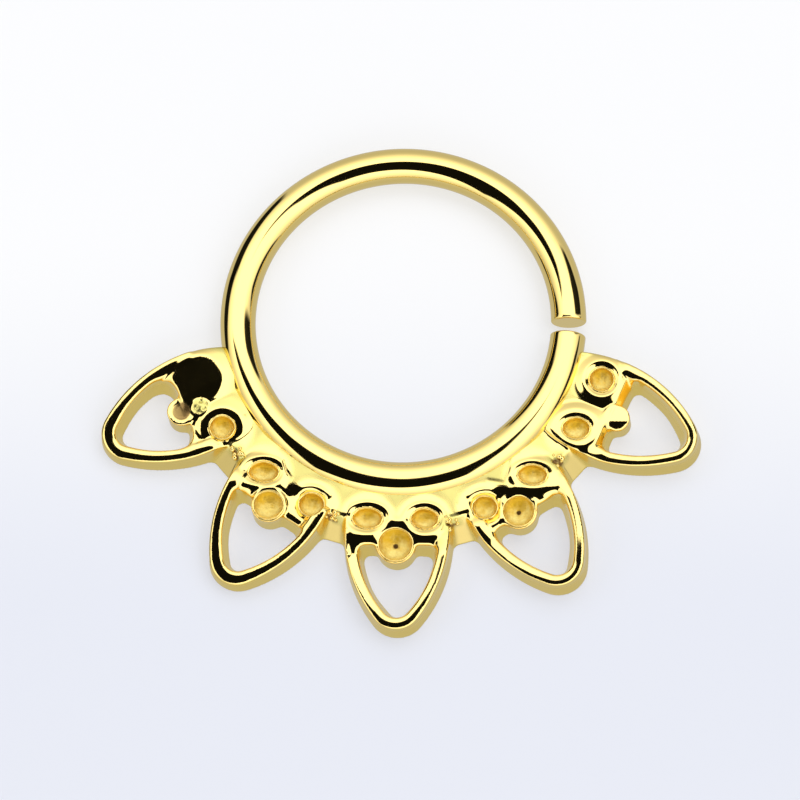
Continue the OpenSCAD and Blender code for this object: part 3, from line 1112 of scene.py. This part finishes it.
places_mesh = bpy.data.meshes.new("seat_places")
places_mesh.from_pydata([(x * MM, y * MM, z * MM) for x, y, z, *_ in seat_places], [], [])
wide_column, tall_column, kind_column = np.array(seat_places)[:, 3:].T
paint(places_mesh, {"wide": wide_column, "tall": tall_column, "kind": kind_column})
seat_cups = grow("seat_cups", nodes.tree, {
    "Edge roughness": 0.05 * MM, "Noise scale": 4000.0,
    **{kind + " cup": cup for kind, cup in CUP_KINDS.items()}}, places_mesh)
for cup in CUP_KINDS.values():
    bpy.data.objects.remove(cup)

# %% [markdown]
# Where two petals meet, the solder ran and left small beads. They are scattered at random,
# with a fixed seed, and each is set down on the nearest spot of the casting, partly sunk.

# %% Solder beads
nodes, size = new_tree("beads_at_joints", Object=("Casting",), Int=("Beads at a joint", "Seed"),
                       Float=("Spread", "Smallest", "Largest"))
copies = nodes.make("GeometryNodeDuplicateElements", {"domain": "POINT"},
                    {"Geometry": size["Geometry"], "Amount": size["Beads at a joint"]})
scatter = nodes.make("FunctionNodeRandomValue", {"data_type": "FLOAT_VECTOR"},
                     {0: (-1.0, -1.0, -0.3), 1: (1.0, 1.0, 0.3), "Seed": size["Seed"]})
thrown = nodes.make("ShaderNodeVectorMath", {"operation": "SCALE"}, {0: scatter, "Scale": size["Spread"]})
loose = nodes.make("GeometryNodeSetPosition", None, {"Geometry": copies, "Offset": thrown})
casting = nodes.make("GeometryNodeObjectInfo", None, {"Object": size["Casting"]}, out="Geometry")
landing = nodes.make("GeometryNodeProximity", {"target_element": "FACES"}, {0: casting}, out="Position")
landed = nodes.make("GeometryNodeSetPosition", None, {"Geometry": loose, "Position": landing})
ball = nodes.make("GeometryNodeMeshIcoSphere", None, {"Radius": 1.0, "Subdivisions": 4})
bead_size = nodes.make("FunctionNodeRandomValue", {"data_type": "FLOAT"},
                       {2: size["Smallest"], 3: size["Largest"], "Seed": size["Seed"] + 1}, out=1)
beads = nodes.make("GeometryNodeInstanceOnPoints", None,
                   {"Points": landed, "Instance": ball, "Scale": bead_size})
close_tree(nodes, beads, polished_gold)
joint_mesh = bpy.data.meshes.new("joint_places")
joint_places = [at_turn(*joint) for joint in JOINTS]
joint_mesh.from_pydata([(x * MM, (HOOP_MID_Y + y) * MM, 0.9 * MM) for x, y in joint_places], [], [])
solder_beads = grow("solder_beads", nodes.tree, {
    "Casting": petal_fan, "Beads at a joint": 9, "Spread": 0.24 * MM,
    "Smallest": 0.035 * MM, "Largest": 0.10 * MM, "Seed": 4}, joint_mesh)

# %% [markdown]
# The floor is a plain pale card, a little cool, so that the warm metal stands out. Part of
# its light comes from below, as on a light table, and is whiter towards the top of the
# picture. A soft lamp gives the ring its faint shadow. Card and lamp are hidden from
# reflections, because the tent already gives the metal everything it mirrors.

# %% Floor and lamp
FLOOR_SIZE = 0.9
FLOOR_DROP = 0.00001
FROM_BELOW = 0.6
CARD_TONES = ((0.76, 0.775, 0.835, 1.0), (0.78, 0.79, 0.84, 1.0))
GLOW_TONES = ((0.80, 0.825, 0.915, 1.0), (1.065, 1.06, 1.04, 1.0))
GLOW_FROM_Y = -8.0
GLOW_TO_Y = 6.0
floor_mesh = bpy.data.meshes.new("floor")
half = FLOOR_SIZE / 2
corners = [(-half, -half, 0), (half, -half, 0), (half, half, 0), (-half, half, 0)]
floor_mesh.from_pydata(corners, [], [(0, 1, 2, 3)])
floor = new_object("floor", floor_mesh)
floor.location = (0, 0, -FLOOR_DROP)
card = bpy.data.materials.new("pale_card")
card.use_nodes = True
card.node_tree.nodes.clear()
paper = Nodes(card.node_tree)
spot = paper.make("ShaderNodeTexCoord", out="Object")
grain = paper.make("ShaderNodeTexNoise", None, {"Vector": spot, "Scale": 30.0}, out="Fac")
tone = paper.blend(grain, *CARD_TONES)
sheet = paper.make("ShaderNodeBsdfDiffuse", None, {"Color": tone})
far_up = paper.make("ShaderNodeVectorMath", {"operation": "DOT_PRODUCT"},
                    {0: spot, 1: (0.0, 1.0, 0.0)}, out="Value")
shade = paper.blend(paper.ease(far_up, GLOW_FROM_Y * MM, GLOW_TO_Y * MM), *GLOW_TONES)
glow = paper.make("ShaderNodeEmission", None, {"Color": shade, "Strength": 1.0})
paper.make("ShaderNodeOutputMaterial", None, {
    0: paper.make("ShaderNodeMixShader", None, {0: FROM_BELOW, 1: sheet, 2: glow})})
floor_mesh.materials.append(card)
floor.visible_glossy = False
lamp_data = bpy.data.lights.new("soft_lamp", "SUN")
lamp_data.energy = 0.5
lamp_data.angle = math.radians(50)
lamp = new_object("soft_lamp", lamp_data)
lamp.rotation_euler = (math.radians(-20), math.radians(15), 0)
lamp.visible_glossy = False
print("floor and lamp placed")

# %% [markdown]
# The four pieces stand for the one CAD solid.

# %% Hand over
for piece in (hoop, petal_fan, seat_cups, solder_beads):
    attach(piece, "root")
    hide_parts("septum_ring")
